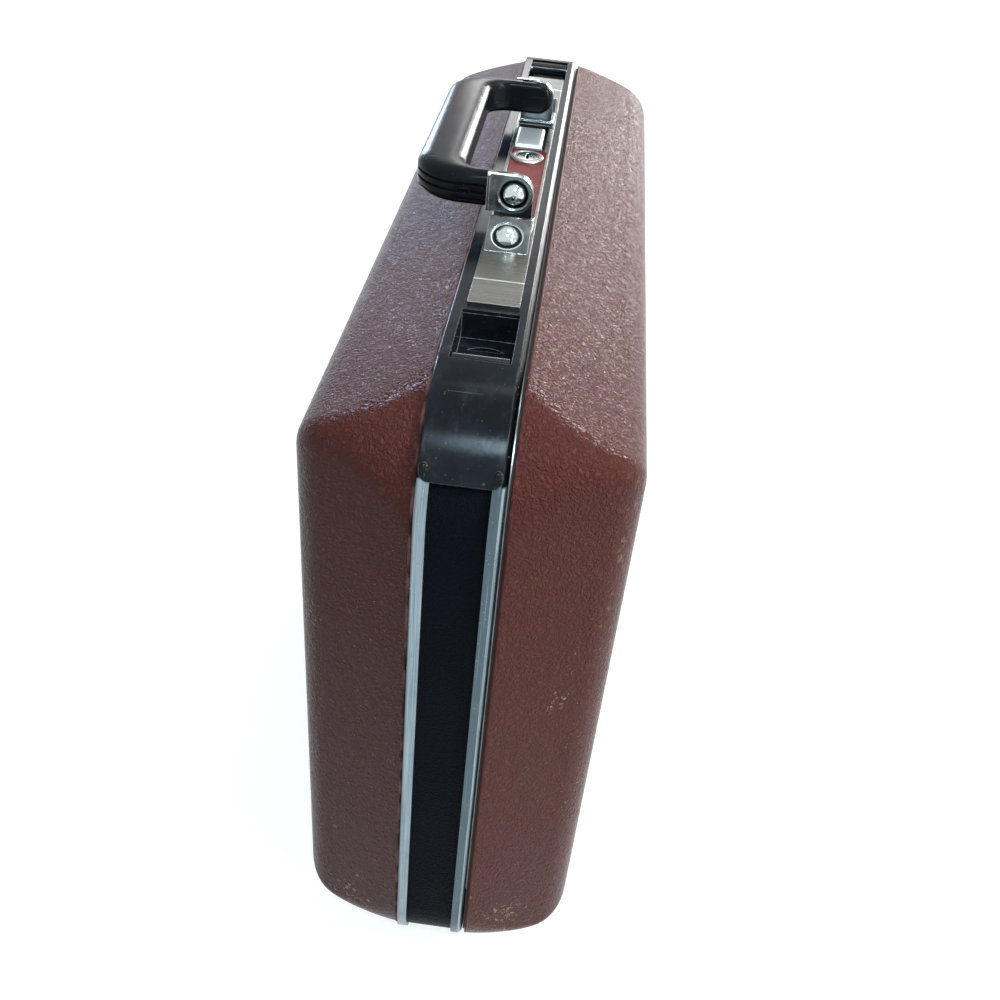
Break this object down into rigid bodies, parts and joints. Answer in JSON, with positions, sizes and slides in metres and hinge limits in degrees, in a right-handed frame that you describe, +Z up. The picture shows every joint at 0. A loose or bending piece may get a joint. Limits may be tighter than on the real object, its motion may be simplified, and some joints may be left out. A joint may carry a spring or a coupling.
{
  "type": "hardshell briefcase",
  "caption": "Hardshell briefcase with hinged lid, folding carry handle, finger-pull latches, key lock and lid stays.",
  "frame": {"origin": "middle of the footprint, on the floor under the feet, with the case standing on its hinge edge", "axes": "+X across the thickness towards the lid, +Y along the length towards the end farther from the picture's viewpoint, +Z up towards the handle"},
  "size_m": [0.127, 0.457, 0.3447],
  "materials": {
    "shell_vinyl": "embossed leather-grain vinyl skin over a moulded shell",
    "frame_aluminium": "satin anodised, light blue-grey",
    "inner_aluminium": "plain extruded",
    "band_vinyl": "finely grained black",
    "trim_black": "satin black enamel",
    "plate_chrome": "brushed with bright edges",
    "dark_chrome": "polished dark plating",
    "dome_chrome": "polished",
    "steel": "zinc plated",
    "handle_black": "glossy black",
    "moulding_chrome": "polished thin band",
    "inlay_red": "deep red lacquer",
    "slider_satin": "satin nickel",
    "rubber_black": "matt",
    "lining_fabric": "short-pile brown fabric",
    "pocket_leather": "smooth brown leatherette",
    "hidden_plastic": "plain black"
  },
  "bodies": {
    "base": {"base_shell": "shell_vinyl", "base_frame": "frame_aluminium", "base_lining": "lining_fabric", "frame_lining": "lining_fabric", "valance_band": "band_vinyl", "top_trim": "trim_black", "cap_pins": "trim_black", "hardware_plate": "plate_chrome", "cover_plate_near": "plate_chrome", "cover_plate_far": "plate_chrome", "accent_inlay": "inlay_red", "mechanism_cover": "hidden_plastic", "bracket_screws": "steel", "handle_bracket_near": "dark_chrome", "handle_bracket_far": "dark_chrome", "bracket_rivet_near": "dome_chrome", "bracket_rivet_far": "dome_chrome", "handle_pin_near": "dome_chrome", "handle_pin_far": "dome_chrome", "latch_housing_near": "trim_black", "latch_housing_far": "trim_black", "latch_pin_near": "steel", "latch_pin_far": "steel", "latch_spring_near": "steel", "latch_spring_far": "steel", "lock_bezel": "dome_chrome", "hinge_leaves_base": "steel", "hinge_pins": "steel", "hinge_rivets_base": "steel", "stay_stud_base_near": "steel", "stay_stud_base_far": "steel", "feet": "rubber_black", "foot_screws": "steel"},
    "lid": {"lid_shell": "shell_vinyl", "lid_frame": "inner_aluminium", "lid_seal": "rubber_black", "lid_lining": "lining_fabric", "hinge_leaves_lid": "steel", "hinge_rivets_lid": "steel", "latch_keeper_near": "steel", "latch_keeper_far": "steel", "stay_stud_lid_near": "steel", "stay_stud_lid_far": "steel", "document_pocket": "pocket_leather"},
    "handle": {"handle_grip": "handle_black", "handle_eye_near": "dark_chrome", "handle_eye_far": "dark_chrome", "handle_ferrule_near": "moulding_chrome", "handle_ferrule_far": "moulding_chrome"},
    "lever_near": {"latch_lever_near": "trim_black"},
    "lever_far": {"latch_lever_far": "trim_black"},
    "bolt_near": {"latch_bolt_near": "steel"},
    "bolt_far": {"latch_bolt_far": "steel"},
    "lock_core": {"lock_plug": "dome_chrome", "lock_cam": "steel"},
    "slider": {"lock_slider": "slider_satin"},
    "stay_near": {"stay_arm_near": "steel"},
    "stay_far": {"stay_arm_far": "steel"}
  },
  "joints": [
    {"name": "lid_hinge", "type": "hinge", "parent": "base", "child": "lid", "pos_m": [0.0162, 0, 0.0045], "axis": [0, 1, 0], "range_deg": [0, 95]},
    {"name": "handle_pivot", "type": "hinge", "parent": "base", "child": "handle", "pos_m": [-0.0004, 0, 0.3365], "axis": [0, 1, 0], "range_deg": [0, 180]},
    {"name": "latch_near", "type": "hinge", "parent": "base", "child": "lever_near", "pos_m": [0, -0.1809, 0.3182], "axis": [-1, 0, 0], "range_deg": [0, 15], "stiffness_Nm_per_rad": 0.05, "springref_deg": -11.46},
    {"name": "latch_far", "type": "hinge", "parent": "base", "child": "lever_far", "pos_m": [0, 0.1809, 0.3182], "axis": [1, 0, 0], "range_deg": [0, 15], "stiffness_Nm_per_rad": 0.05, "springref_deg": -11.46},
    {"name": "bolt_slide_near", "type": "slide", "parent": "base", "child": "bolt_near", "axis": [-1, 0, 0], "range_m": [0, 0.0041]},
    {"name": "bolt_slide_far", "type": "slide", "parent": "base", "child": "bolt_far", "axis": [-1, 0, 0], "range_m": [0, 0.0041]},
    {"name": "lock_turn", "type": "hinge", "parent": "base", "child": "lock_core", "pos_m": [-0.0004, 0.0135, 0.32], "axis": [0, 0, 1], "range_deg": [0, 90]},
    {"name": "release_slide", "type": "slide", "parent": "base", "child": "slider", "axis": [0, 1, 0], "range_m": [0, 0.005]},
    {"name": "stay_swing_near", "type": "hinge", "parent": "lid", "child": "stay_near", "pos_m": [0.0327, -0.20075, 0.0465], "axis": [0, 1, 0], "range_deg": [-48, 0]},
    {"name": "stay_swing_far", "type": "hinge", "parent": "lid", "child": "stay_far", "pos_m": [0.0327, 0.20075, 0.0465], "axis": [0, 1, 0], "range_deg": [-48, 0]}
  ],
  "couplings": [
    {"joint": "bolt_slide_near", "follows": "latch_near", "m_per_rad": 0.015279},
    {"joint": "bolt_slide_far", "follows": "latch_far", "m_per_rad": 0.015279},
    {"joint": "stay_swing_near", "follows": "lid_hinge", "ratio": -0.5},
    {"joint": "stay_swing_far", "follows": "lid_hinge", "ratio": -0.5}
  ]
}
